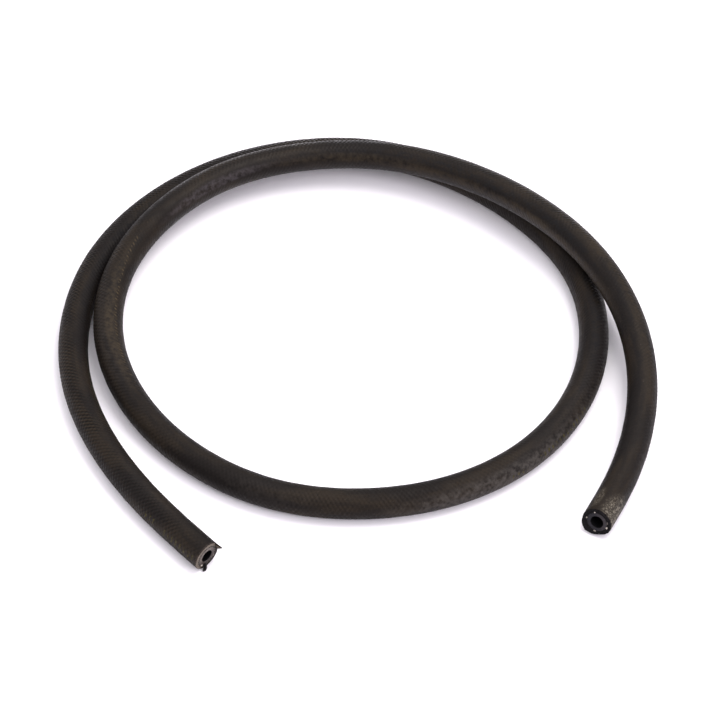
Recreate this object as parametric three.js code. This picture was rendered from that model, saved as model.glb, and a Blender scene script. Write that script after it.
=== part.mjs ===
// Oil hose: a plain length of rubber hose with a textile layer in its wall, both ends cut and bare.
// It lies on a level floor in one loose loop and a half, and crosses over itself once.
// Millimetres, +Z up, the floor at z = 0, the open side of the loop towards -Y.
import * as THREE from 'three';

// Driving dimensions: the length along the middle of the bore, and the wall from the bore outwards
const HOSE_LENGTH = 1000;
const BORE_DIAMETER = 4.5;
const INNER_TUBE_WALL = 1.15;
const BRAID_THICKNESS = 0.45;
const COVER_WALL = 1.1;
const LAYER_CLEARANCE = 0.1;

// How far the knife leaned at the second end, in degrees: the top edge is cut back
const SECOND_END_CUT_TILT = 9;

// How finely the tubes are faceted, around and along
const SECTION_SIDES = 12;
const ROUTE_STEPS = 78;

// How near a corner has to be to the end's plane to belong to it
const END_PLANE_REACH = 0.01;

const BORE_RADIUS = BORE_DIAMETER / 2;
const INNER_TUBE_RADIUS = BORE_RADIUS + INNER_TUBE_WALL;
const BRAID_INNER_RADIUS = INNER_TUBE_RADIUS + LAYER_CLEARANCE;
const BRAID_RADIUS = BRAID_INNER_RADIUS + BRAID_THICKNESS;
const COVER_INNER_RADIUS = BRAID_RADIUS + LAYER_CLEARANCE;
const COVER_RADIUS = COVER_INNER_RADIUS + COVER_WALL;
const OUTER_DIAMETER = 2 * COVER_RADIUS;

// The way the hose lies, as it was laid down: x and y of each guide point, and how far the hose is
// lifted off the floor there, in its own outer diameters. The hose is 1 diameter up where it lies
// on itself.
const ROUTE = [
  [-47.5, -95.5, 0],
  [-67, -74.5, 0],
  [-84, -49.5, 0],
  [-95.5, -20.5, 0],
  [-97.5, 10, 0],
  [-90.5, 40, 0],
  [-73.5, 66, 0],
  [-49, 85, 0],
  [-20, 94.5, 0],
  [11, 94, 0],
  [39, 80.5, 0],
  [62, 60, 0],
  [79, 34, 0],
  [83.5, 3, 0],
  [77, -27, 0],
  [59.5, -53, 0],
  [33.5, -69.5, 0],
  [3, -75.5, 0],
  [-28, -71.5, 0],
  [-54.5, -55.5, 0],
  [-74.5, -32, 0],
  [-86, -3, 0.15],
  [-84.5, 28, 0.35],
  [-70.5, 55.5, 0.5],
  [-47.5, 76.5, 0.6],
  [-18, 86, 0.6],
  [13, 85, 0.7],
  [41, 72, 0.9],
  [64.5, 52.5, 1.1],
  [84, 28.5, 1.05],
  [96, 0.5, 0.6],
  [97.5, -30, 0.15],
  [89.5, -60, 0],
  [78, -82.5, 0.1],
];

// A smooth curve guided by the points: a uniform cubic B-spline that starts and ends on them
class HoseCurve extends THREE.Curve {
  constructor(guides) {
    super();
    this.arcLengthDivisions = 1000;
    const last = guides.length - 1;
    const beforeFirst = guides[0].clone().multiplyScalar(2).sub(guides[1]);
    const afterLast = guides[last].clone().multiplyScalar(2).sub(guides[last - 1]);
    this.guides = [beforeFirst, ...guides, afterLast];
  }

  getPoint(t, target = new THREE.Vector3()) {
    const spans = this.guides.length - 3;
    const span = Math.min(Math.floor(t * spans), spans - 1);
    const f = t * spans - span;
    const weights = [
      (1 - f) ** 3,
      3 * f ** 3 - 6 * f ** 2 + 4,
      -3 * f ** 3 + 3 * f ** 2 + 3 * f + 1,
      f ** 3,
    ];
    target.set(0, 0, 0);
    weights.forEach((weight, i) => target.addScaledVector(this.guides[span + i], weight / 6));
    return target;
  }
}

function layHose(spread) {
  const guides = ROUTE.map(([x, y, lift]) => {
    const height = COVER_RADIUS + lift * OUTER_DIAMETER;
    return new THREE.Vector3(spread * x, spread * y, height);
  });
  return new HoseCurve(guides);
}

// The guide points give a loop of about the right length, and a longer hose lies in a wider loop
const drawnLength = layHose(1).getLength();
const hoseCurve = layHose(HOSE_LENGTH / drawnLength);

// The corners of a layer's round edge
function ring(radius) {
  const corners = [];
  for (let i = 0; i < SECTION_SIDES; i += 1) {
    const angle = (2 * Math.PI * i) / SECTION_SIDES;
    corners.push(new THREE.Vector2(radius * Math.cos(angle), radius * Math.sin(angle)));
  }
  return corners;
}

// Leans the flat face at the second end back by the cut's tilt, about a level line across it
function leanSecondEnd(geometry) {
  const end = hoseCurve.getPointAt(1);
  const along = hoseCurve.getTangentAt(1);
  const across = new THREE.Vector3(0, 0, 1).cross(along).normalize();
  const upwards = along.clone().cross(across);
  const slope = Math.tan(THREE.MathUtils.degToRad(SECOND_END_CUT_TILT));
  const places = geometry.getAttribute('position');
  const fromEnd = new THREE.Vector3();
  for (let i = 0; i < places.count; i += 1) {
    fromEnd.fromBufferAttribute(places, i).sub(end);
    const nearEnd = fromEnd.length() < OUTER_DIAMETER;
    const inEndFace = nearEnd && Math.abs(fromEnd.dot(along)) < END_PLANE_REACH;
    if (inEndFace) {
      fromEnd.addScaledVector(along, -slope * fromEnd.dot(upwards));
      places.setXYZ(i, end.x + fromEnd.x, end.y + fromEnd.y, end.z + fromEnd.z);
    }
  }
}

// One layer of the wall, all the way along the hose
function layer(name, innerRadius, outerRadius, material) {
  const section = new THREE.Shape(ring(outerRadius));
  section.holes.push(new THREE.Path(ring(innerRadius)));
  const geometry = new THREE.ExtrudeGeometry(section, {
    steps: ROUTE_STEPS,
    extrudePath: hoseCurve,
  });
  leanSecondEnd(geometry);
  const mesh = new THREE.Mesh(geometry, new THREE.MeshStandardMaterial(material));
  mesh.name = name;
  return mesh;
}

const COVER_RUBBER = { color: 0x2b2728, roughness: 0.62, metalness: 0 };
const BRAID_YARN = { color: 0xcabd9f, roughness: 0.9, metalness: 0 };
const INNER_RUBBER = { color: 0x3a343c, roughness: 0.55, metalness: 0 };

const hose = new THREE.Group();
hose.name = 'oil_hose';
hose.add(
  layer('outer_cover', COVER_INNER_RADIUS, COVER_RADIUS, COVER_RUBBER),
  layer('textile_braid', BRAID_INNER_RADIUS, BRAID_RADIUS, BRAID_YARN),
  layer('inner_tube', BORE_RADIUS, INNER_TUBE_RADIUS, INNER_RUBBER),
);

export default hose;
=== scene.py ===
# The oil hose, dressed: a length of black rubber hose lying on a pale floor, cut bare at both ends.
# Metres, +Z up. The hose runs from its first end, at the left, to its second end, at the right.
import math

import bpy
import numpy as np
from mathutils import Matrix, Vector


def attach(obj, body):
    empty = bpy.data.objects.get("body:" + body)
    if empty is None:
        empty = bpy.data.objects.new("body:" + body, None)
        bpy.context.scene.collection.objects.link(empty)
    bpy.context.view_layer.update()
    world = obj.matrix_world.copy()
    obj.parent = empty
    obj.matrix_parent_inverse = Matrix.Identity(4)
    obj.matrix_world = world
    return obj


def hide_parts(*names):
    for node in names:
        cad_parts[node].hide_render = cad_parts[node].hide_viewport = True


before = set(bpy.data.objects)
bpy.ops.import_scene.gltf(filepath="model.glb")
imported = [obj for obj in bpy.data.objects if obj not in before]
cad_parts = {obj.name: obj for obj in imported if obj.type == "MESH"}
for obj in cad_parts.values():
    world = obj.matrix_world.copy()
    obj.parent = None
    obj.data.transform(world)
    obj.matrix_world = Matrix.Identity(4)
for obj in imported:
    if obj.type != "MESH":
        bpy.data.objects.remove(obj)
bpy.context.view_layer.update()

MM = 0.001

# The hose's own sizes, as in the part's source, but with its layers all but touching
HOSE_LENGTH = 1000 * MM
BORE_RADIUS = 2.25 * MM
LINER_RADIUS = 3.42 * MM
BRAID_INNER_RADIUS = 3.44 * MM
BRAID_RADIUS = 3.98 * MM
COVER_INNER_RADIUS = 4.01 * MM
COVER_RADIUS = 5.15 * MM
OUTER_DIAMETER = 2 * COVER_RADIUS
SECOND_END_CUT_TILT = math.radians(9)

# How the hose lies: x and y in millimetres, and its lift off the floor in outer diameters
ROUTE = [
    (-47.5, -95.5, 0),
    (-67, -74.5, 0),
    (-84, -49.5, 0),
    (-95.5, -20.5, 0),
    (-97.5, 10, 0),
    (-90.5, 40, 0),
    (-73.5, 66, 0),
    (-49, 85, 0),
    (-20, 94.5, 0),
    (11, 94, 0),
    (39, 80.5, 0),
    (62, 60, 0),
    (79, 34, 0),
    (83.5, 3, 0),
    (77, -27, 0),
    (59.5, -53, 0),
    (33.5, -69.5, 0),
    (3, -75.5, 0),
    (-28, -71.5, 0),
    (-54.5, -55.5, 0),
    (-74.5, -32, 0),
    (-86, -3, 0.15),
    (-84.5, 28, 0.35),
    (-70.5, 55.5, 0.5),
    (-47.5, 76.5, 0.6),
    (-18, 86, 0.6),
    (13, 85, 0.7),
    (41, 72, 0.9),
    (64.5, 52.5, 1.1),
    (84, 28.5, 1.05),
    (96, 0.5, 0.6),
    (97.5, -30, 0.15),
    (89.5, -60, 0),
    (78, -82.5, 0.1),
]

# The first end's cut is a little askew too: its top and its outer edge reach further than the rest
FIRST_END_LEAN_UP = 0.07
FIRST_END_LEAN_OUT = 0.08
FIRST_END_REACH = 0.3 * MM

# How far from each end the sections lean as the cut there does
END_REACH = 9 * MM

# The woven mark on the cover: two families of slanting ribs that cross
RIB_PITCH = 1.5 * MM
RIBS_AROUND = 14
RIB_DEPTH = 0.13 * MM
RINGS_PER_RIB = 3
COVER_SIDES = RIBS_AROUND * 3

# The share of the first family of ribs in the mark swings slowly along the hose, in mm
RIB_SHARE_SWING = 0.22
RIB_SHARE_PERIOD = 640.0
RIB_SHARE_PEAK = 55.0

# How much of the mark is left: it is worn next to the ends, and smoothest round the middle of the hose
LEAST_AT_ENDS = 0.35
FIRST_END_WORN = 8 * MM
FIRST_END_FADE = 40 * MM
SECOND_END_FADE = 90 * MM
SMOOTHEST_AT = 510 * MM
SMOOTH_REACH = 90 * MM
SMOOTH_SHARE = 0.6

# How far the cover's surface wanders in and out, and how each cut's rim is rounded off
SURFACE_WANDER = 0.03 * MM
RIM_WIDTH = 0.2 * MM
RIM_ROUNDING = 0.12 * MM

# The burr at the second end: its length, and how far its rim is spread out and pressed in, and where
BURR_LENGTH = 2.4 * MM
BURR_SPREAD = 0.85 * MM
BURR_SPREAD_AT = math.radians(-133)
BURR_PRESSED = 0.3 * MM
BURR_PRESSED_AT = math.radians(-70)

# The cover's cut faces: where their rows lie across the wall, as shares from the inside to the rim
FACE_ROWS = (0.62, 0.3, 0.02)

# How finely the liner and the textile layer are drawn, along and around
LAYER_RINGS = 260
LAYER_SIDES = 42

# The cut yarns. Those that show as spots have degrees round the hose, half-widths along and across the
# turn in mm, and how pale each is. The others are small, and keep clear of the spots.
YARNS_AROUND = 24
YARN_CIRCLE = 3.68 * MM
SECOND_END_SPOTS = [
    (109, 0.28, 0.25, 0.75),
    (173, 0.30, 0.27, 0.65),
    (-16, 0.44, 0.32, 1.0),
    (-95, 0.50, 0.22, 0.5),
    (14, 0.48, 0.16, 0.30),
]
FIRST_END_SPOTS = [(-50, 0.42, 0.34, 1.0), (-143, 0.34, 0.25, 0.45)]
SMALL_YARN_SIZES = (0.16, 0.24)
SMALL_YARN_STRETCH = 1.3
SMALL_YARN_PALENESS = {"first": 0.3, "second": 0.0}
SMALL_YARN_JITTER = 3
SPOT_CLEARANCE = 14

# A yarn's stub: how far it reaches out of the cut at each ring in mm, and its share of the full width
YARN_STUB = ((-0.5, 1.0), (0.02, 1.0), (0.12, 0.75), (0.17, 0.35))
YARN_SIDES = 8

# The cut faces, the crumb and the yarn ends are marked for the materials by a distance along that the
# hose itself never has, in mm, and the materials tell them apart by the limits between the marks
FIRST_FACE = -20
SECOND_FACE = 1020
LOOSE_CRUMB = -40
CLEAR_YARN = 2000
FAINT_YARN = 3000
BEFORE_HOSE = -10.0
BEFORE_FIRST_FACE = -30.0
PAST_HOSE = 1010.0
YARN_ENDS_FROM = 1900.0

# The camera, as it looked at the hose: on the loop's open side, about halfway between level and overhead
CAMERA_ELEVATION = math.radians(47)
CAMERA_DISTANCE = 1.0005
CAMERA_TARGET = Vector((2.6 * MM, -11.35 * MM, 5.15 * MM))
SENSOR_WIDTH = 36.0
FOCAL_LENGTH = 146.1
CLIP_START = 0.05
CLIP_END = 20

# The soft light from all round: its colour, its brightness at the horizon, and how much more comes from
# straight above
SKY_COLOUR = (0.97, 0.96, 1.0, 1)
SKY_AT_HORIZON = 0.55
SKY_RISE = 1.25

# The soft boxes, aimed at the middle of the floor: place, diameter in metres, watts and colour
SOFTBOXES = {
    "softbox_back": ((0.46, 0.20, 1.26), 0.9, 10, (1, 0.99, 0.97)),
    "softbox_front": ((0.8, -0.8, 0.8), 0.5, 6, (0.95, 0.90, 1.0)),
}

# The floor: width in metres, colour, and how matt it is
FLOOR_WIDTH = 6
FLOOR_COLOUR = (0.925, 0.893, 0.920)
FLOOR_ROUGHNESS = 0.95
FLOOR_SPECULAR = 0.1

# How finely the route is sampled for its length, for its sections, and for the cord's path
ROUTE_SAMPLES = 12001
SECTION_SAMPLES = 4001
PATH_POINTS = 161

# Edges sharper than this stay sharp in the shading
SHARP_EDGE = math.radians(48)

rng = np.random.default_rng(7)


# The route as a curve

def spline_point(guides, t):
    """Points of the uniform cubic B-spline that starts and ends on its guides."""
    spans = len(guides) - 1
    padded = np.vstack([2 * guides[0] - guides[1], guides, 2 * guides[-1] - guides[-2]])
    position = np.clip(t * spans, 0, spans - 1e-9)
    span = np.floor(position).astype(int)
    f = (position - span)[:, None]
    weights = [(1 - f) ** 3, 3 * f**3 - 6 * f**2 + 4, -3 * f**3 + 3 * f**2 + 3 * f + 1, f**3]
    return sum(w * padded[span + k] for k, w in enumerate(weights)) / 6


def lay_hose(spread):
    """The centreline's points and the distance along it, with the plan widened by spread."""
    guides = np.array([
        (spread * x * MM, spread * y * MM, COVER_RADIUS + lift * OUTER_DIAMETER)
        for x, y, lift in ROUTE
    ])
    points = spline_point(guides, np.linspace(0, 1, ROUTE_SAMPLES))
    steps = np.linalg.norm(np.diff(points, axis=0), axis=1)
    return points, np.concatenate([[0], np.cumsum(steps)])


drawn_length = lay_hose(1.0)[1][-1]
route_points, route_along = lay_hose(HOSE_LENGTH / drawn_length)
LENGTH = route_along[-1]


class Frames:
    """Centres and cross-section directions at chosen distances along the hose.
    up starts as straight up and is carried along without twist; side is across it."""

    def __init__(self):
        self.s = np.linspace(0, LENGTH, SECTION_SAMPLES)
        self.centre = np.stack(
            [np.interp(self.s, route_along, route_points[:, k]) for k in range(3)], axis=1
        )
        tangent = np.gradient(self.centre, axis=0)
        self.tangent = tangent / np.linalg.norm(tangent, axis=1)[:, None]
        up = np.zeros_like(self.centre)
        carried = np.array([0.0, 0.0, 1.0])
        for i in range(SECTION_SAMPLES):
            carried = carried - carried @ self.tangent[i] * self.tangent[i]
            carried = carried / np.linalg.norm(carried)
            up[i] = carried
        self.up = up
        self.side = np.cross(up, self.tangent)

    def at(self, s):
        """Centre, tangent, side and up at the distances s."""
        def pick(table):
            return np.stack([np.interp(s, self.s, table[..., k]) for k in range(3)], axis=-1)
        centre, tangent, side, up = (pick(t) for t in (self.centre, self.tangent, self.side, self.up))
        past = np.where(s < 0, s, np.where(s > LENGTH, s - LENGTH, 0.0))
        return centre + past[..., None] * tangent, tangent, side, up


hose = Frames()


def place(s, angle, radius):
    """Where a point of the hose lies: s along it, angle round it (0 side, 90 degrees up), radius out.
    Near each end the sections lean as the cut there does."""
    s, angle, radius = np.broadcast_arrays(s, angle, radius)
    near_first = np.clip(1 - s / END_REACH, 0, 1)
    near_second = np.clip(1 - (LENGTH - s) / END_REACH, 0, 1)
    askew = FIRST_END_LEAN_UP * np.sin(angle) + FIRST_END_LEAN_OUT * np.cos(angle)
    s = s - near_first * (askew * radius + FIRST_END_REACH)
    s = s - near_second * math.tan(SECOND_END_CUT_TILT) * radius * np.sin(angle)
    centre, tangent, side, up = hose.at(s)
    return centre + radius[..., None] * (
        np.cos(angle)[..., None] * side + np.sin(angle)[..., None] * up
    )


# Mesh helpers

def closed_rings(rings, sides, first):
    """Faces of a ring of rings: each joins the next, and the last one joins the first. Their corners are
    numbered from first."""
    faces = []
    for i in range(rings):
        a = first + i * sides
        b = first + ((i + 1) % rings) * sides
        for j in range(sides):
            k = (j + 1) % sides
            faces.append((a + j, a + k, b + k, b + j))
    return faces


def ring_uvs(s_values):
    """Distance along in millimetres and share of a turn, for the corners of closed_rings."""
    rings, sides = s_values.shape
    uvs = np.zeros((rings, sides, 4, 2), np.float32)
    s_here = s_values / MM
    s_next = np.roll(s_here, -1, axis=0)
    turn = np.arange(sides) / sides
    uvs[:, :, 0, 0] = s_here
    uvs[:, :, 1, 0] = np.roll(s_here, -1, axis=1)
    uvs[:, :, 2, 0] = np.roll(s_next, -1, axis=1)
    uvs[:, :, 3, 0] = s_next
    uvs[:, :, 0, 1] = turn
    uvs[:, :, 1, 1] = turn + 1 / sides
    uvs[:, :, 2, 1] = turn + 1 / sides
    uvs[:, :, 3, 1] = turn
    return uvs


class Parts:
    """Several closed pieces of surface gathered for one mesh."""

    def __init__(self):
        self.points = []
        self.faces = []
        self.uvs = []
        self.count = 0

    def add_rings(self, points, uvs):
        """A closed ring of rings, rows by sides by three."""
        rings, sides = points.shape[:2]
        self.faces += closed_rings(rings, sides, self.count)
        self.points.append(points.reshape(-1, 3))
        self.uvs.append(uvs.reshape(-1, 2))
        self.count += rings * sides

    def add_tube(self, points, uv):
        """A tube of rings, closed at both ends. It has one uv, or one for each of its sides."""
        rings, sides = points.shape[:2]
        first = self.count
        for i in range(rings - 1):
            for j in range(sides):
                k = (j + 1) % sides
                a = first + i * sides
                self.faces.append((a + j, a + k, a + sides + k, a + sides + j))
        last = first + (rings - 1) * sides
        self.faces.append(tuple(first + j for j in reversed(range(sides))))
        self.faces.append(tuple(last + j for j in range(sides)))
        side_uvs = np.broadcast_to(np.asarray(uv, np.float32), (sides, 2))
        self.points.append(points.reshape(-1, 3))
        self.uvs.append(np.tile(np.repeat(side_uvs, 4, axis=0), (rings - 1, 1)))
        self.uvs.append(np.tile(side_uvs, (2, 1)))
        self.count += rings * sides

    def finish(self, name):
        mesh = bpy.data.meshes.new(name)
        mesh.from_pydata(np.concatenate(self.points).tolist(), [], self.faces)
        layer = mesh.uv_layers.new(name="hose")
        layer.data.foreach_set("uv", np.concatenate(self.uvs).astype(np.float32).ravel())
        mesh.shade_smooth()
        mesh.set_sharp_from_angle(angle=SHARP_EDGE)
        obj = bpy.data.objects.new(name, mesh)
        bpy.context.scene.collection.objects.link(obj)
        return obj


def soft_noise(s, angle, seed, waves):
    """A smooth, repeatable wobble between about -1 and 1 over the hose's surface."""
    pick = np.random.default_rng(seed)
    total = 0.0
    for _ in range(waves):
        along = pick.uniform(20, 900)
        around = pick.integers(0, 6)
        phase = pick.uniform(0, 2 * math.pi)
        total = total + np.sin(along * s + around * angle + phase)
    return total / math.sqrt(waves)


# The cover

def rib_share(s):
    """How much of the woven mark is the first family of ribs, at a distance along."""
    swing = np.cos(2 * math.pi * (s / MM - RIB_SHARE_PEAK) / RIB_SHARE_PERIOD)
    return 0.5 + RIB_SHARE_SWING * swing


def woven_height(s, angle):
    """1 on the crossings of the ribs, 0 between them."""
    along = 2 * math.pi * s / RIB_PITCH
    around = RIBS_AROUND * angle
    share = rib_share(s)
    return 0.5 + 0.5 * (share * np.cos(along + around) + (1 - share) * np.cos(along - around))


def second_end_burr(s, angle):
    """How far the rim at the second end stands out below on the left, where the cutter spread it,
    and draws in below on the right."""
    fade = np.clip(1 - (LENGTH - s) / BURR_LENGTH, 0, 1) ** 1.5
    spread = np.clip(np.cos(angle - BURR_SPREAD_AT), 0, 1) ** 6
    pressed = np.clip(np.cos(angle - BURR_PRESSED_AT), 0, 1) ** 10
    ragged = 1 + 0.12 * np.sin(11 * angle + 1.0) + 0.08 * np.sin(19 * angle)
    return fade * (BURR_SPREAD * spread * ragged - BURR_PRESSED * pressed)


def worn_share(s):
    """How much of the woven mark is left, at a distance along."""
    from_first = np.clip((s - FIRST_END_WORN) / FIRST_END_FADE, 0, 1)
    from_second = np.clip((LENGTH - s) / SECOND_END_FADE, 0, 1)
    near_ends = LEAST_AT_ENDS + (1 - LEAST_AT_ENDS) * from_first * from_second
    return near_ends * (1 - SMOOTH_SHARE * np.exp(-(((s - SMOOTHEST_AT) / SMOOTH_REACH) ** 2)))


def cover_outside(s, angle):
    """The radius of the cover's outside: woven, worn, and cut off at its rims."""
    near_end = np.minimum(s, LENGTH - s)
    edge = np.clip(1 - near_end / RIM_WIDTH, 0, 1) ** 2
    rub = np.clip(0.5 + 0.35 * soft_noise(s, angle, seed=3, waves=8), 0, 1)
    depth = RIB_DEPTH * (0.5 + 0.5 * rub) * worn_share(s)
    radius = COVER_RADIUS - depth * (1 - woven_height(s, angle)) * (1 - edge)
    radius = radius - SURFACE_WANDER * (1 + soft_noise(s, angle, seed=5, waves=10) / 2)
    return radius - RIM_ROUNDING * edge + second_end_burr(s, angle)


def torn_sliver(parts):
    """The strip of cover that the knife left standing on the first end's far edge. It starts 1 mm inside
    the cut, ends 2.5 mm past it, and gets narrower and thinner on the way."""
    start = 1.0 * MM
    length = 3.5 * MM
    root_thickness = 0.75 * MM
    tip_thickness = 0.35 * MM
    curl = 0.12 * MM
    across = 6
    loops = []
    for t in np.linspace(0, 1, 9):
        low = math.radians(136 + 10 * t)
        high = math.radians(190 - 35 * t**1.5)
        thick = root_thickness * (1 - t) + tip_thickness * t
        outer = COVER_RADIUS - SURFACE_WANDER + curl * t**2
        turns = np.linspace(low, high, across)
        angle = np.concatenate([turns, turns[::-1]])
        radius = np.concatenate([np.full(across, outer), np.full(across, outer - thick)])
        loops.append(place(np.full(2 * across, start - length * t), angle, radius))
    skin = [(1.0, 0.46)]
    cut = [(FIRST_FACE, 0.14)]
    parts.add_tube(np.array(loops), 5 * skin + 4 * cut + 3 * skin)


def dangling_crumb(parts):
    """The black shred that hangs from the bottom of the first end."""
    # sideways, upwards and outwards from the middle of the cut in mm, and the shred's half-width there
    route = [
        (0.9, -3.0, -0.3, 0.50),
        (1.05, -3.5, 0.6, 0.56),
        (1.4, -4.0, 1.0, 0.54),
        (1.95, -4.45, 1.15, 0.46),
        (2.55, -4.72, 1.05, 0.34),
    ]
    unevenness = 0.15
    sides = 10
    any_side = (0.3, 0.2, 0.93)
    floor_gap = 0.05 * MM
    turns = np.arange(sides) * 2 * math.pi / sides
    centre, tangent, side, up = (v[0] for v in hose.at(np.array([0.0])))
    spine = np.array([centre + MM * (a * side + b * up - c * tangent) for a, b, c, _ in route])
    loops = []
    for i, stop in enumerate(route):
        ahead = spine[min(i + 1, len(route) - 1)] - spine[max(i - 1, 0)]
        ahead = ahead / np.linalg.norm(ahead)
        across = np.cross(ahead, any_side)
        across = across / np.linalg.norm(across)
        other = np.cross(ahead, across)
        reach = stop[3] * MM * (1 + unevenness * rng.normal(size=sides))
        around = np.cos(turns)[:, None] * across + np.sin(turns)[:, None] * other
        loops.append(spine[i] + reach[:, None] * around)
    loops = np.array(loops)
    loops[..., 2] = np.maximum(loops[..., 2], floor_gap)
    parts.add_tube(loops, (LOOSE_CRUMB, 0.5))


def build_cover():
    """One ring of rings: the outside from the first rim to the second, the second cut face, the inside
    back to the first end, and the first cut face."""
    angle = np.arange(COVER_SIDES)[None, :] * 2 * math.pi / COVER_SIDES
    step = RIB_PITCH / RINGS_PER_RIB
    rim_row = 0.15 * MM
    face_inside = BRAID_RADIUS + 0.05 * MM
    bulge = 0.01 * MM
    distances = np.concatenate([
        [0, rim_row],
        np.arange(step, LENGTH - step / 2, step),
        [LENGTH - rim_row, LENGTH],
    ])
    outside = distances[:, None] + 0 * angle
    radii = cover_outside(outside, angle)
    rows_s = [outside]
    rows_r = [radii]
    for share in FACE_ROWS:
        rows_s.append(LENGTH + bulge + 0.06 * MM * rng.normal(size=(1, COVER_SIDES)))
        rows_r.append(face_inside + share * (radii[-1:] - BRAID_RADIUS))
    inside = np.linspace(LENGTH, 0, 91)[:, None] + 0 * angle
    rows_s.append(inside)
    rows_r.append(np.full_like(inside, COVER_INNER_RADIUS))
    for share in FACE_ROWS[::-1]:
        rows_s.append(0.08 * MM * rng.normal(size=(1, COVER_SIDES)) - bulge)
        rows_r.append(face_inside + share * (radii[:1] - BRAID_RADIUS))
    s_all = np.concatenate(rows_s)
    r_all = np.concatenate(rows_r)
    uvs = ring_uvs(s_all)
    face_rows = len(FACE_ROWS) + 1
    second_face = len(distances) - 1
    uvs[second_face:second_face + face_rows, :, :, 0] = SECOND_FACE
    uvs[-face_rows:, :, :, 0] = FIRST_FACE
    parts = Parts()
    parts.add_rings(place(s_all, angle, r_all), uvs)
    torn_sliver(parts)
    dangling_crumb(parts)
    return parts.finish("rubber_cover")


# The liner and the textile layer

def tube_rows(inner, outer, recess, rough):
    """A plain tube that ends a little inside the cuts, its two cut faces uneven."""
    angle = np.arange(LAYER_SIDES)[None, :] * 2 * math.pi / LAYER_SIDES
    s = np.linspace(recess, LENGTH - recess, LAYER_RINGS)[:, None] + 0 * angle
    middle = np.full((1, LAYER_SIDES), 0.5 * (inner + outer))
    cap_second = LENGTH - recess + rough * rng.normal(size=(1, LAYER_SIDES))
    cap_first = recess + rough * rng.normal(size=(1, LAYER_SIDES))
    s_all = np.concatenate([s, cap_second, s[::-1], cap_first])
    r_all = np.concatenate([np.full_like(s, outer), middle, np.full_like(s, inner), middle])
    uvs = ring_uvs(s_all)
    uvs[LAYER_RINGS - 1:LAYER_RINGS + 1, :, :, 0] = SECOND_FACE
    uvs[-2:, :, :, 0] = FIRST_FACE
    return place(s_all, angle, r_all), uvs


def build_liner():
    parts = Parts()
    parts.add_rings(*tube_rows(BORE_RADIUS, LINER_RADIUS, recess=0.05 * MM, rough=0.03 * MM))
    return parts.finish("rubber_liner")


def yarn_end(parts, at_first, degrees, wide, high, mark):
    """One cut yarn: a short rounded stub that stands just out of the cut."""
    turns = np.arange(YARN_SIDES) * 2 * math.pi / YARN_SIDES
    loops = []
    for reach, share in YARN_STUB:
        angle = math.radians(degrees) + share * wide * np.cos(turns) * MM / YARN_CIRCLE
        radius = YARN_CIRCLE + share * high * np.sin(turns) * MM
        s = -reach * MM if at_first else LENGTH + reach * MM
        loops.append(place(np.full(YARN_SIDES, s), angle, radius))
    parts.add_tube(np.array(loops), mark)


def degrees_apart(a, b):
    return abs((a - b + 180) % 360 - 180)


def build_braid():
    parts = Parts()
    parts.add_rings(*tube_rows(BRAID_INNER_RADIUS, BRAID_RADIUS, recess=0.1 * MM, rough=0.05 * MM))
    for end, spots in (("first", FIRST_END_SPOTS), ("second", SECOND_END_SPOTS)):
        at_first = end == "first"
        for i in range(YARNS_AROUND):
            degrees = 360 * i / YARNS_AROUND + rng.uniform(-SMALL_YARN_JITTER, SMALL_YARN_JITTER)
            if all(degrees_apart(degrees, spot[0]) > SPOT_CLEARANCE for spot in spots):
                size = rng.uniform(*SMALL_YARN_SIZES)
                mark = (FAINT_YARN, SMALL_YARN_PALENESS[end])
                yarn_end(parts, at_first, degrees, size * SMALL_YARN_STRETCH, size, mark)
        for degrees, wide, high, pale in spots:
            yarn_end(parts, at_first, degrees, wide, high, (CLEAR_YARN, pale))
    return parts.finish("yarn_layer")


cover = build_cover()
liner = build_liner()
braid = build_braid()


# Materials

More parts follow.
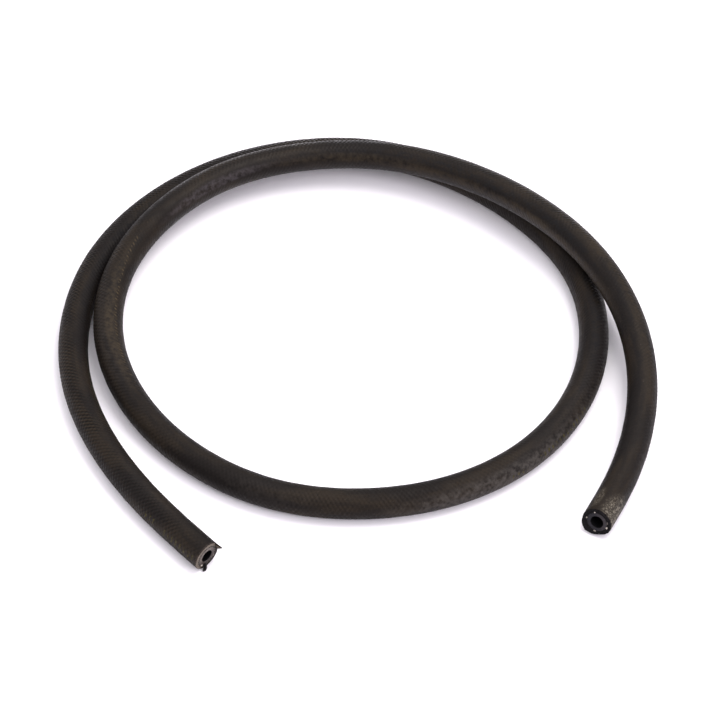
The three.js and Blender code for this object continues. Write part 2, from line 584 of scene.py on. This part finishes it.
class Net:
    """Short ways to wire up a material."""

    def __init__(self, name):
        self.made = bpy.data.materials.new(name)
        self.made.use_nodes = True
        self.tree = self.made.node_tree
        self.tree.nodes.clear()
        self.shader = self.node("ShaderNodeBsdfPrincipled")
        output = self.node("ShaderNodeOutputMaterial")
        self.tree.links.new(self.shader.outputs["BSDF"], output.inputs["Surface"])

    def node(self, kind):
        return self.tree.nodes.new(kind)

    def give(self, socket, value):
        if isinstance(value, bpy.types.NodeSocket):
            self.tree.links.new(value, socket)
        elif isinstance(value, tuple) and len(value) == 3 and socket.type == "RGBA":
            socket.default_value = (*value, 1)
        else:
            socket.default_value = value

    def math(self, what, a, b=0.0, c=0.0):
        node = self.node("ShaderNodeMath")
        node.operation = what
        for socket, value in zip(node.inputs, (a, b, c)):
            self.give(socket, value)
        return node.outputs[0]

    def total(self, *values):
        result = values[0]
        for value in values[1:]:
            result = self.math("ADD", result, value)
        return result

    def product(self, *values):
        result = values[0]
        for value in values[1:]:
            result = self.math("MULTIPLY", result, value)
        return result

    def fade(self, value, low, high, to_low=0.0, to_high=1.0):
        node = self.node("ShaderNodeMapRange")
        node.interpolation_type = "SMOOTHSTEP"
        self.give(node.inputs["Value"], value)
        self.give(node.inputs["From Min"], low)
        self.give(node.inputs["From Max"], high)
        self.give(node.inputs["To Min"], to_low)
        self.give(node.inputs["To Max"], to_high)
        return node.outputs["Result"]

    def noise(self, vector, scale, detail, roughness=0.6):
        node = self.node("ShaderNodeTexNoise")
        self.give(node.inputs["Vector"], vector)
        self.give(node.inputs["Scale"], scale)
        self.give(node.inputs["Detail"], detail)
        self.give(node.inputs["Roughness"], roughness)
        return node.outputs["Fac"]

    def vector(self, x, y, z):
        node = self.node("ShaderNodeCombineXYZ")
        for socket, value in zip(node.inputs, (x, y, z)):
            self.give(socket, value)
        return node.outputs[0]

    def mix(self, share, a, b):
        node = self.node("ShaderNodeMix")
        node.data_type = "RGBA"
        self.give(node.inputs[0], share)
        self.give(node.inputs[6], a)
        self.give(node.inputs[7], b)
        return node.outputs[2]

    def shade(self, colour, factor):
        """The colour made lighter or darker by a factor."""
        node = self.node("ShaderNodeVectorMath")
        node.operation = "SCALE"
        self.give(node.inputs[0], colour)
        self.give(node.inputs["Scale"], factor)
        return node.outputs[0]

    def grain(self, scale, detail):
        """Fine noise in the piece's own space, which isn't stretched on the cut faces."""
        return self.noise(self.node("ShaderNodeTexCoord").outputs["Object"], scale, detail)

    def bump(self, height, distance):
        node = self.node("ShaderNodeBump")
        self.give(node.inputs["Height"], height)
        self.give(node.inputs["Distance"], distance)
        self.give(node.inputs["Strength"], 1.0)
        self.give(self.shader.inputs["Normal"], node.outputs[0])

    def hose_place(self):
        """Millimetres along the hose, and the angle round it in radians."""
        uv = self.node("ShaderNodeUVMap")
        uv.uv_map = "hose"
        split = self.node("ShaderNodeSeparateXYZ")
        self.give(split.inputs[0], uv.outputs[0])
        return split.outputs[0], self.math("MULTIPLY", split.outputs[1], 2 * math.pi)

    def round_hose(self, angle):
        """The other two coordinates of a place on the straightened hose, in mm."""
        radius = COVER_RADIUS / MM
        return (
            self.product(self.math("COSINE", angle), radius),
            self.product(self.math("SINE", angle), radius),
        )

    def facing(self, angle, degrees):
        """1 on the side of the hose that is turned this way, -1 on the side opposite."""
        return self.math("COSINE", self.math("SUBTRACT", angle, math.radians(degrees)))

    def cut_faces(self, along):
        """Masks of the first cut face and of the second."""
        on_first = self.product(
            self.math("LESS_THAN", along, BEFORE_HOSE),
            self.math("GREATER_THAN", along, BEFORE_FIRST_FACE),
        )
        return on_first, self.math("GREATER_THAN", along, PAST_HOSE)

    def spot(self, along, angle, s0, degrees, half_length, half_turn):
        """1 in the middle of an oval place on the hose, 0 outside it."""
        off_s = self.math("DIVIDE", self.math("SUBTRACT", along, s0), half_length)
        off_angle = self.math("ARCCOSINE", self.facing(angle, degrees))
        off_turn = self.math("DIVIDE", off_angle, math.radians(half_turn))
        square = self.total(self.product(off_s, off_s), self.product(off_turn, off_turn))
        return self.fade(square, 1.0, 0.0)


COVER_DARK = (0.0052, 0.0040, 0.0038)
COVER_BROWN = (0.0150, 0.0106, 0.0070)
COVER_WORN = (0.050, 0.044, 0.040)
# A painted sheen and highlight: the pale lilac of light glancing off the rubber
COVER_PAINTED_SHEEN = (0.056, 0.048, 0.053)
# Painted shade with a bluish sheen, for the band down the middle of the hose as the camera sees it
COVER_PAINTED_SHADE = (0.0036, 0.0042, 0.0056)
COVER_TAN = (0.034, 0.025, 0.015)
SPECK = (0.07, 0.06, 0.05)
DUST = (0.20, 0.175, 0.138)
LAP_GROUND = (0.004, 0.003, 0.0025)
LAP_TAN = (0.060, 0.043, 0.024)
PRINT_OLIVE = (0.042, 0.035, 0.010)
# The first end's tan rim, laid only on its lit side: rim colour with painted light
RIM_TAN_LIT = (0.055, 0.043, 0.037)
CRUMB_BLACK = (0.0020, 0.0020, 0.0026)
SECOND_FACE_BLACK = (0.0032, 0.0032, 0.0040)
# A painted sheen on the second cut face
SECOND_FACE_PAINTED_SHEEN = (0.012, 0.0105, 0.0120)
# Lit and shaded copies of the first cut face's colour: painted light and shade
FIRST_FACE_SHADED = (0.0170, 0.0130, 0.0120)
FIRST_FACE_LIT = (0.122, 0.101, 0.082)
LINER_BORE = (0.0015, 0.0015, 0.0018)
# Lit and shaded copies of the liner's colour on its cut faces: painted light and shade
LINER_SECOND_SHADED = (0.0085, 0.0075, 0.0105)
LINER_SECOND_LIT = (0.0235, 0.0195, 0.0220)
LINER_FIRST_SHADED = (0.034, 0.026, 0.024)
LINER_FIRST_LIT = (0.115, 0.096, 0.084)
YARN_DARK = (0.0050, 0.0046, 0.0048)
YARN_PALE = (0.40, 0.355, 0.315)

# How matt each material is, how strongly it mirrors, and how deep its finest relief is
COVER_ROUGHNESS = (0.50, 0.68)
COVER_SPECULAR = 0.14
COVER_SPECULAR_TINT = (1.0, 0.89, 0.82)
COVER_RELIEF = 0.13 * MM
SECOND_FACE_SPECULAR = 0.06
LINER_ROUGHNESS = 0.55
LINER_SPECULAR = 0.16
LINER_RELIEF = 0.10 * MM
YARN_ROUGHNESS = 0.85
YARN_SPECULAR = 0.12
YARN_RELIEF = 0.08 * MM

# Places where the rubber looks different, the later ones over the earlier ones, with their colour: painted
# shade, wear, painted sheen and highlights, and tan dirt. Distance along in mm, degrees round, half-length
# in mm, half-width in degrees, strength
TINTED_PLACES = [
    # Painted shade with a bluish sheen down the middle of the hose as the camera sees it
    (COVER_PAINTED_SHADE, [
        (200, 124, 125, 34, 0.75),
        (385, 80, 55, 30, 0.75),
        (815, 122, 115, 28, 0.8),
        (930, 92, 45, 30, 0.5),
    ]),
    (COVER_WORN, [
        (466, 8, 52, 66, 1.0),
        (440, 75, 30, 60, 0.12),
        (548, 50, 20, 55, 0.15),
        (640, 84, 36, 50, 0.18),
        (30, 120, 26, 50, 0.12),
    ]),
    # Painted sheen and highlights, where light glances off the rubber
    (COVER_PAINTED_SHEEN, [
        (722, 142, 30, 25, 0.65),
        (188, 146, 42, 30, 0.4),
        (236, 104, 30, 16, 0.5),
    ]),
    (COVER_TAN, [
        (648, 104, 44, 34, 0.75),
        (776, 142, 34, 24, 0.5),
        (850, 162, 90, 24, 0.5),
        (880, 70, 90, 26, 0.35),
    ]),
]

# Dust and scuffs next to the second end, stated the same way
DUSTY_PLACES = [(998.5, 28, 12, 72, 1.0), (993.5, 120, 6, 24, 0.6)]

# How clear the woven mark's colour is along the hose: between two distances in mm it goes from one share
# to another, and all of them multiply
WEAVE_FADES = [
    (2.0, 45.0, 0.35, 1.0),
    (985.0, 880.0, 0.15, 1.0),
    (350.0, 250.0, 1.0, 1.9),
    (370.0, 450.0, 1.0, 0.45),
    (590.0, 650.0, 1.0, 1.6),
]

# Where the cover is rubbed smoother: where each stretch begins, is full, begins to end and ends, in mm
RUBBED_STRETCHES = [(180.0, 235.0, 290.0, 350.0), (680.0, 730.0, 850.0, 900.0)]
RUBBED_SMOOTHER = 0.20

# The lap of the cloth that the cover was wrapped in shows as a line of tan beads: where it begins and
# ends along the hose, and where it drifts from one angle to the other, in mm and degrees
LAP_BEGINS = (606.0, 622.0)
LAP_ENDS = (672.0, 700.0)
LAP_DRIFTS = (655.0, 700.0)
LAP_ANGLES = (121, 97)

# Worn print as plain short dashes across the hose: start and end in mm, degrees round, half-height in
# degrees, and the dashes' pitch in mm
PRINT_PLACES = [(1.5, 16.0, 18, 15), (20.0, 26.0, 24, 13), (430.0, 456.0, 20, 12), (462.0, 468.0, 8, 11)]
DASH_PITCH = 1.9


def woven_mark(net, along, angle, on_hose):
    """The woven mark as on the mesh, from 0 to 1, and the turn of its first family of ribs."""
    along_turn = net.product(along, 2 * math.pi * MM / RIB_PITCH)
    around_turn = net.product(angle, RIBS_AROUND)
    first_turn = net.total(along_turn, around_turn)
    second_turn = net.math("SUBTRACT", along_turn, around_turn)
    from_peak = net.math("SUBTRACT", along, RIB_SHARE_PEAK)
    swing = net.math("COSINE", net.product(from_peak, 2 * math.pi / RIB_SHARE_PERIOD))
    share = net.math("MULTIPLY_ADD", swing, RIB_SHARE_SWING, 0.5)
    ribs = net.total(
        net.product(share, net.math("COSINE", first_turn)),
        net.product(net.math("SUBTRACT", 1.0, share), net.math("COSINE", second_turn)),
    )
    clear = net.product(
        net.fade(net.noise(on_hose, 0.13, 3.0), 0.36, 0.62, 0.3, 1.0),
        *[net.fade(along, *stretch) for stretch in WEAVE_FADES],
        net.fade(net.facing(angle, 35), 0.25, 0.95, 0.4, 1.4),
    )
    return net.math("MULTIPLY_ADD", net.product(ribs, clear), 0.5, 0.5), first_turn


def tint_places(net, along, angle, broken, colour):
    for tint, places in TINTED_PLACES:
        for *oval, strength in places:
            here = net.spot(along, angle, *oval)
            colour = net.mix(net.product(here, broken, strength), colour, tint)
    return colour


def draw_lap(net, along, angle, on_hose, first_turn, colour):
    """A dark ground with tan beads on it, where a patchy noise leaves them."""
    lap_angle = net.fade(along, *LAP_DRIFTS, *(math.radians(degrees) for degrees in LAP_ANGLES))
    off_lap = net.math("ABSOLUTE", net.math("SUBTRACT", angle, lap_angle))
    on_lap = net.product(
        net.fade(off_lap, 0.13, 0.04),
        net.fade(along, *LAP_BEGINS),
        net.fade(along, *reversed(LAP_ENDS)),
        net.fade(net.noise(on_hose, 0.45, 2.0), 0.46, 0.56),
    )
    beads = net.fade(net.math("COSINE", first_turn), -0.3, 0.5)
    colour = net.mix(net.product(on_lap, 0.75), colour, LAP_GROUND)
    return net.mix(net.product(on_lap, beads, 0.7), colour, LAP_TAN)


def draw_dashes(net, along, angle, on_hose, colour):
    strokes = net.fade(net.math("COSINE", net.product(along, 2 * math.pi / DASH_PITCH)), 0.15, 0.55)
    ragged = net.fade(net.noise(on_hose, 1.4, 2.0, 0.5), 0.42, 0.58)
    lines = 0.0
    for start, end, degrees, tall in PRINT_PLACES:
        off = net.math("ABSOLUTE", net.math("SUBTRACT", angle, math.radians(degrees)))
        inside = net.product(
            net.fade(off, math.radians(tall), math.radians(tall - 4)),
            net.fade(along, start - 0.5, start + 0.5),
            net.fade(along, end + 0.5, end - 0.5),
        )
        lines = net.total(lines, inside)
    return net.mix(net.product(lines, strokes, ragged, 0.9), colour, PRINT_OLIVE)


def draw_dust(net, along, angle, on_hose, colour):
    speckle = net.fade(net.noise(on_hose, 1.25, 6.0, 0.85), 0.47, 0.62)
    dusty = net.total(*[
        net.product(net.spot(along, angle, *oval), strength)
        for *oval, strength in DUSTY_PLACES
    ])
    return net.mix(net.product(net.total(0.10, speckle), dusty, 0.72), colour, DUST)


def draw_cuts(net, along, angle, grain, colour):
    """The cut faces: nearly black at the second end, with a painted sheen towards its upper side; at the
    first, painted tan on the lit side and brown on the shaded side, with a tan rim painted on the lit side
    there; and the loose crumb."""
    on_first, on_second = net.cut_faces(along)
    second_face = net.shade(SECOND_FACE_BLACK, net.fade(grain, 0.3, 0.75, 0.4, 2.2))
    # A painted sheen on the second cut face, towards its upper side
    painted_sheen = net.product(net.fade(net.facing(angle, 50), 0.2, 1.0), net.fade(grain, 0.4, 0.6), 0.6)
    second_face = net.mix(painted_sheen, second_face, SECOND_FACE_PAINTED_SHEEN)
    # Painted light and shade on the first cut face: lit and shaded copies of its colour, by the side facing
    # the light
    lit_side = net.facing(angle, 52)
    first_face = net.mix(net.fade(lit_side, -0.6, 0.3), FIRST_FACE_SHADED, FIRST_FACE_LIT)
    first_face = net.shade(first_face, net.fade(grain, 0.3, 0.7, 0.7, 1.25))
    colour = net.mix(on_second, colour, second_face)
    colour = net.mix(on_first, colour, first_face)
    colour = net.mix(net.math("LESS_THAN", along, BEFORE_FIRST_FACE), colour, CRUMB_BLACK)
    # The first end's rim: its tan is laid only on the lit side, so it is partly painted light
    first_rim_lit = net.product(
        net.fade(along, 0.75, 0.15),
        net.math("GREATER_THAN", along, BEFORE_HOSE),
        net.fade(lit_side, -0.4, 0.5),
    )
    return net.mix(net.product(first_rim_lit, net.fade(grain, 0.35, 0.6), 0.55), colour, RIM_TAN_LIT)


def cover_material():
    net = Net("cover_rubber")
    along, angle = net.hose_place()
    y, z = net.round_hose(angle)
    on_hose = net.vector(along, y, z)
    stretched = net.vector(net.product(along, 0.22), y, z)
    streaky = net.vector(net.product(along, 0.05), y, z)
    broad = net.noise(stretched, 0.16, 4.0)
    middle = net.noise(on_hose, 0.55, 4.0)
    fine = net.noise(on_hose, 1.9, 3.0)
    streaks = net.noise(streaky, 0.9, 3.0)
    grain = net.grain(1500.0, 4.0)
    weave, first_turn = woven_mark(net, along, angle, on_hose)

    colour = net.mix(net.fade(broad, 0.40, 0.66), COVER_DARK, COVER_BROWN)
    tone = net.total(-0.40, net.product(middle, 0.85), net.product(fine, 0.80), net.product(weave, 0.80))
    colour = net.shade(colour, tone)
    colour = tint_places(net, along, angle, net.fade(middle, 0.30, 0.72), colour)
    specks = net.fade(net.noise(on_hose, 2.6, 2.0, 0.5), 0.69, 0.76)
    colour = net.mix(net.product(specks, net.fade(broad, 0.38, 0.6), 0.5), colour, SPECK)
    colour = draw_lap(net, along, angle, on_hose, first_turn, colour)
    colour = draw_dashes(net, along, angle, on_hose, colour)
    colour = draw_dust(net, along, angle, on_hose, colour)
    colour = draw_cuts(net, along, angle, grain, colour)
    net.give(net.shader.inputs["Base Color"], colour)

    rubbed = net.total(*[
        net.product(net.fade(along, begins, full), net.fade(along, ends, full_to))
        for begins, full, full_to, ends in RUBBED_STRETCHES
    ])
    matt = net.fade(middle, 0.3, 0.7, *COVER_ROUGHNESS)
    roughness = net.math("SUBTRACT", matt, net.product(rubbed, RUBBED_SMOOTHER))
    net.give(net.shader.inputs["Roughness"], roughness)
    specular = net.fade(along, PAST_HOSE - 5, PAST_HOSE + 5, COVER_SPECULAR, SECOND_FACE_SPECULAR)
    net.give(net.shader.inputs["Specular IOR Level"], specular)
    net.give(net.shader.inputs["Specular Tint"], COVER_SPECULAR_TINT)
    on_first, on_second = net.cut_faces(along)
    height = net.total(
        net.product(weave, 1.6),
        net.product(fine, 0.7),
        net.product(streaks, 0.6),
        net.product(grain, net.total(on_first, on_second), 1.2),
    )
    net.bump(height, COVER_RELIEF)
    return net.made


def liner_material():
    net = Net("liner_rubber")
    along, angle = net.hose_place()
    grain = net.grain(1300.0, 4.0)
    on_first, on_second = net.cut_faces(along)
    # Painted light and shade on both cut faces of the liner: lit and shaded copies of its colour, by side
    second_face = net.mix(net.fade(net.facing(angle, 20), -0.2, 1.0), LINER_SECOND_SHADED, LINER_SECOND_LIT)
    first_face = net.mix(net.fade(net.facing(angle, 70), -0.8, 0.9), LINER_FIRST_SHADED, LINER_FIRST_LIT)
    colour = net.mix(on_second, LINER_BORE, second_face)
    colour = net.mix(on_first, colour, first_face)
    colour = net.shade(colour, net.fade(grain, 0.3, 0.7, 0.65, 1.35))
    net.give(net.shader.inputs["Base Color"], colour)
    net.give(net.shader.inputs["Roughness"], LINER_ROUGHNESS)
    net.give(net.shader.inputs["Specular IOR Level"], LINER_SPECULAR)
    net.bump(grain, LINER_RELIEF)
    return net.made


def braid_material():
    """Dark where the yarn is soaked with rubber, pale at its cut ends and half pale on the first cut."""
    net = Net("braid_yarn")
    along, angle = net.hose_place()
    grain = net.grain(2600.0, 3.0)
    at_yarn_end = net.math("GREATER_THAN", along, YARN_ENDS_FROM)
    paleness = net.product(at_yarn_end, net.math("DIVIDE", angle, 2 * math.pi))
    paleness = net.product(paleness, net.fade(along, FAINT_YARN, CLEAR_YARN, 0.35, 1.0))
    at_first = net.product(net.cut_faces(along)[0], 0.34)
    woven = net.math("SINE", net.total(net.product(along, 3.1), net.product(angle, 12.0)))
    dark = net.shade(YARN_DARK, net.total(0.7, net.product(grain, 0.5), net.product(woven, 0.1)))
    light = net.shade(YARN_PALE, net.fade(grain, 0.3, 0.7, 0.7, 1.15))
    share = net.math("MAXIMUM", paleness, at_first)
    net.give(net.shader.inputs["Base Color"], net.mix(share, dark, light))
    net.give(net.shader.inputs["Roughness"], YARN_ROUGHNESS)
    net.give(net.shader.inputs["Specular IOR Level"], YARN_SPECULAR)
    net.bump(net.total(grain, net.product(woven, 0.3)), YARN_RELIEF)
    return net.made


cover.data.materials.append(cover_material())
liner.data.materials.append(liner_material())
braid.data.materials.append(braid_material())

for piece, node, slot in (
    (cover, "outer_cover", "cover_rubber"),
    (braid, "textile_braid", "braid_yarn"),
    (liner, "inner_tube", "liner_rubber"),
):
    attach(piece, "root")
    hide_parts(node)

path = [tuple(float(v) for v in p) for p in hose.at(np.linspace(0, LENGTH, PATH_POINTS))[0]]


# Floor, light and camera

def build_stage():
    bpy.ops.mesh.primitive_plane_add(size=FLOOR_WIDTH, location=(0, 0, 0))
    floor = bpy.context.object
    floor.name = "floor"
    net = Net("floor_white")
    net.give(net.shader.inputs["Base Color"], FLOOR_COLOUR)
    net.give(net.shader.inputs["Roughness"], FLOOR_ROUGHNESS)
    net.give(net.shader.inputs["Specular IOR Level"], FLOOR_SPECULAR)
    floor.data.materials.append(net.made)


def add_light(name, location, size, power, colour):
    data = bpy.data.lights.new(name, "AREA")
    data.shape = "DISK"
    data.size = size
    data.energy = power
    data.color = colour
    light = bpy.data.objects.new(name, data)
    light.location = location
    light.rotation_euler = (-Vector(location)).to_track_quat("-Z", "Y").to_euler()
    bpy.context.scene.collection.objects.link(light)


def build_light():
    world = bpy.data.worlds.new("soft_sky")
    bpy.context.scene.world = world
    world.use_nodes = True
    nodes = world.node_tree.nodes
    links = world.node_tree.links
    sky = nodes["Background"]
    sky.inputs["Color"].default_value = SKY_COLOUR
    direction = nodes.new("ShaderNodeTexCoord")
    split = nodes.new("ShaderNodeSeparateXYZ")
    brightness = nodes.new("ShaderNodeMath")
    brightness.operation = "MULTIPLY_ADD"
    brightness.inputs[1].default_value = SKY_RISE
    brightness.inputs[2].default_value = SKY_AT_HORIZON
    links.new(direction.outputs["Generated"], split.inputs[0])
    links.new(split.outputs["Z"], brightness.inputs[0])
    links.new(brightness.outputs[0], sky.inputs["Strength"])
    for name, box in SOFTBOXES.items():
        add_light(name, *box)


def build_camera():
    data = bpy.data.cameras.new("camera")
    data.sensor_width = SENSOR_WIDTH
    data.lens = FOCAL_LENGTH
    data.clip_start = CLIP_START
    data.clip_end = CLIP_END
    camera = bpy.data.objects.new("camera", data)
    toward = Vector((0, -math.cos(CAMERA_ELEVATION), math.sin(CAMERA_ELEVATION)))
    camera.location = CAMERA_TARGET + CAMERA_DISTANCE * toward
    camera.rotation_euler = (math.pi / 2 - CAMERA_ELEVATION, 0, 0)
    bpy.context.scene.collection.objects.link(camera)
    bpy.context.scene.camera = camera


build_stage()
build_light()
build_camera()
view = bpy.context.scene.view_settings
view.view_transform = "Standard"
view.look = "None"
view.exposure = 0
view.gamma = 1
